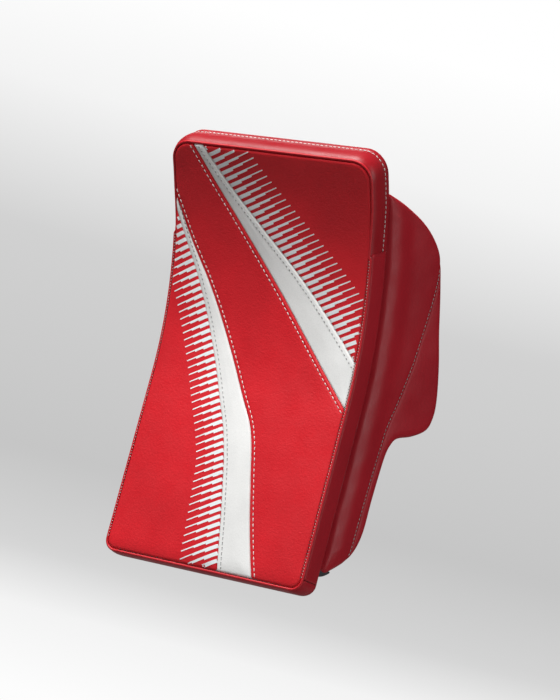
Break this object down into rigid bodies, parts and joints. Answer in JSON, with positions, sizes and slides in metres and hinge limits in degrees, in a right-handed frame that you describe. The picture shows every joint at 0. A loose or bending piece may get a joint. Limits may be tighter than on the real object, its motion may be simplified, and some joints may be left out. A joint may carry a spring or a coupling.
{
  "type": "goalie blocker",
  "caption": "Ice hockey goalie blocker for the right hand: red curled padded board with white stripes, flared sideboard, and the glove behind it with finger and thumb stalls and a wrist flap.",
  "frame": {"origin": "middle of the palm cavity, where the hand sits behind the board", "axes": "+Z along the board from the fingers to the cuff, -Y out of the front face of the board, +X towards the thumb side"},
  "size_m": [0.2318, 0.2074, 0.385],
  "materials": {
    "face_red": "smooth synthetic leather, semi-matte",
    "trim_red": "smooth synthetic leather, semi-matte",
    "stripe_white": "smooth synthetic leather, semi-matte",
    "palm_grey": "brushed synthetic suede",
    "mesh_black": "knitted mesh",
    "lining_black": "brushed tricot",
    "foam": "closed-cell foam",
    "sheet_plastic": "pressed sheet",
    "plate_plastic": "pressed sheet",
    "steel": "zinc plated",
    "elastic_black": "ribbed elastic webbing",
    "hook_loop": "hook-and-loop tape"
  },
  "bodies": {
    "board": {"face_panel_left": "face_red", "stripe_sweep": "stripe_white", "face_panel_centre": "face_red", "stripe_diagonal": "stripe_white", "face_panel_upper": "face_red", "edge_welt": "face_red", "side_band_thumb": "trim_red", "side_band_outer": "trim_red", "bottom_band": "trim_red", "top_wrap": "trim_red", "foam_front": "foam", "stiffener_sheet": "sheet_plastic", "foam_rear": "foam", "back_panel": "lining_black", "sideboard_cover": "trim_red", "sideboard_edge_panel": "trim_red", "sideboard_foam": "foam", "sideboard_stiffener": "sheet_plastic", "sideboard_lining": "lining_black", "sideboard_binding": "trim_red", "mounting_plate": "plate_plastic", "mounting_screws": "steel", "screw_washers": "steel", "t_nuts": "steel", "backhand_pad": "foam", "backhand_liner": "lining_black", "palm": "palm_grey", "palm_overlay": "palm_grey", "gusset_pinky": "mesh_black", "gusset_thumb": "mesh_black", "cuff_back_pad": "trim_red", "cuff_wall_pinky": "trim_red", "cuff_wall_thumb": "trim_red", "cuff_liner": "lining_black", "cuff_binding": "lining_black", "strap_loop_patch": "hook_loop"},
    "pinky_finger": {"stall_pinky": "palm_grey"},
    "pinky_fingertip": {"tip_pinky": "palm_grey"},
    "ring_finger": {"stall_ring": "palm_grey"},
    "ring_fingertip": {"tip_ring": "palm_grey"},
    "middle_finger": {"stall_middle": "palm_grey"},
    "middle_fingertip": {"tip_middle": "palm_grey"},
    "index_finger": {"stall_index": "palm_grey", "index_guard": "trim_red"},
    "index_fingertip": {"tip_index": "palm_grey"},
    "thumb": {"thumb_stall": "palm_grey", "thumb_shield": "trim_red"},
    "thumb_tip": {"thumb_tip": "palm_grey"},
    "wrist_flap": {"wrist_pad": "trim_red", "wrist_strap": "elastic_black", "strap_hook_patch": "hook_loop"}
  },
  "joints": [
    {"name": "pinky_flex", "type": "hinge", "parent": "board", "child": "pinky_finger", "pos_m": [-0.036, 0, -0.049], "axis": [1, 0, 0], "range_deg": [-15, 35]},
    {"name": "pinky_tip_flex", "type": "hinge", "parent": "pinky_finger", "child": "pinky_fingertip", "pos_m": [-0.036, 0.02113, -0.09432], "axis": [1, 0, 0], "range_deg": [-12, 28]},
    {"name": "ring_flex", "type": "hinge", "parent": "board", "child": "ring_finger", "pos_m": [-0.012, 0, -0.049], "axis": [1, 0, 0], "range_deg": [-15, 35]},
    {"name": "ring_tip_flex", "type": "hinge", "parent": "ring_finger", "child": "ring_fingertip", "pos_m": [-0.012, 0.02113, -0.09432], "axis": [1, 0, 0], "range_deg": [-12, 28]},
    {"name": "middle_flex", "type": "hinge", "parent": "board", "child": "middle_finger", "pos_m": [0.012, 0, -0.049], "axis": [1, 0, 0], "range_deg": [-15, 35]},
    {"name": "middle_tip_flex", "type": "hinge", "parent": "middle_finger", "child": "middle_fingertip", "pos_m": [0.012, 0.02113, -0.09432], "axis": [1, 0, 0], "range_deg": [-12, 28]},
    {"name": "index_flex", "type": "hinge", "parent": "board", "child": "index_finger", "pos_m": [0.036, 0, -0.049], "axis": [1, 0, 0], "range_deg": [-15, 35]},
    {"name": "index_tip_flex", "type": "hinge", "parent": "index_finger", "child": "index_fingertip", "pos_m": [0.036, 0.02113, -0.09432], "axis": [1, 0, 0], "range_deg": [-12, 28]},
    {"name": "thumb_flex", "type": "hinge", "parent": "board", "child": "thumb", "pos_m": [0.068, 0.008, 0.001], "axis": [-1, 0, 0], "range_deg": [-30, 25]},
    {"name": "thumb_tip_flex", "type": "hinge", "parent": "thumb", "child": "thumb_tip", "pos_m": [0.068, 0.03885, -0.03577], "axis": [-1, 0, 0], "range_deg": [-18, 15]},
    {"name": "wrist_flap_open", "type": "hinge", "parent": "board", "child": "wrist_flap", "pos_m": [0.0624, 0.0323, 0.084], "axis": [0, 0, -1], "range_deg": [0, 115]}
  ],
  "couplings": [
    {"joint": "pinky_tip_flex", "follows": "pinky_flex", "ratio": 0.8},
    {"joint": "ring_tip_flex", "follows": "ring_flex", "ratio": 0.8},
    {"joint": "middle_tip_flex", "follows": "middle_flex", "ratio": 0.8},
    {"joint": "index_tip_flex", "follows": "index_flex", "ratio": 0.8},
    {"joint": "thumb_tip_flex", "follows": "thumb_flex", "ratio": 0.6}
  ]
}
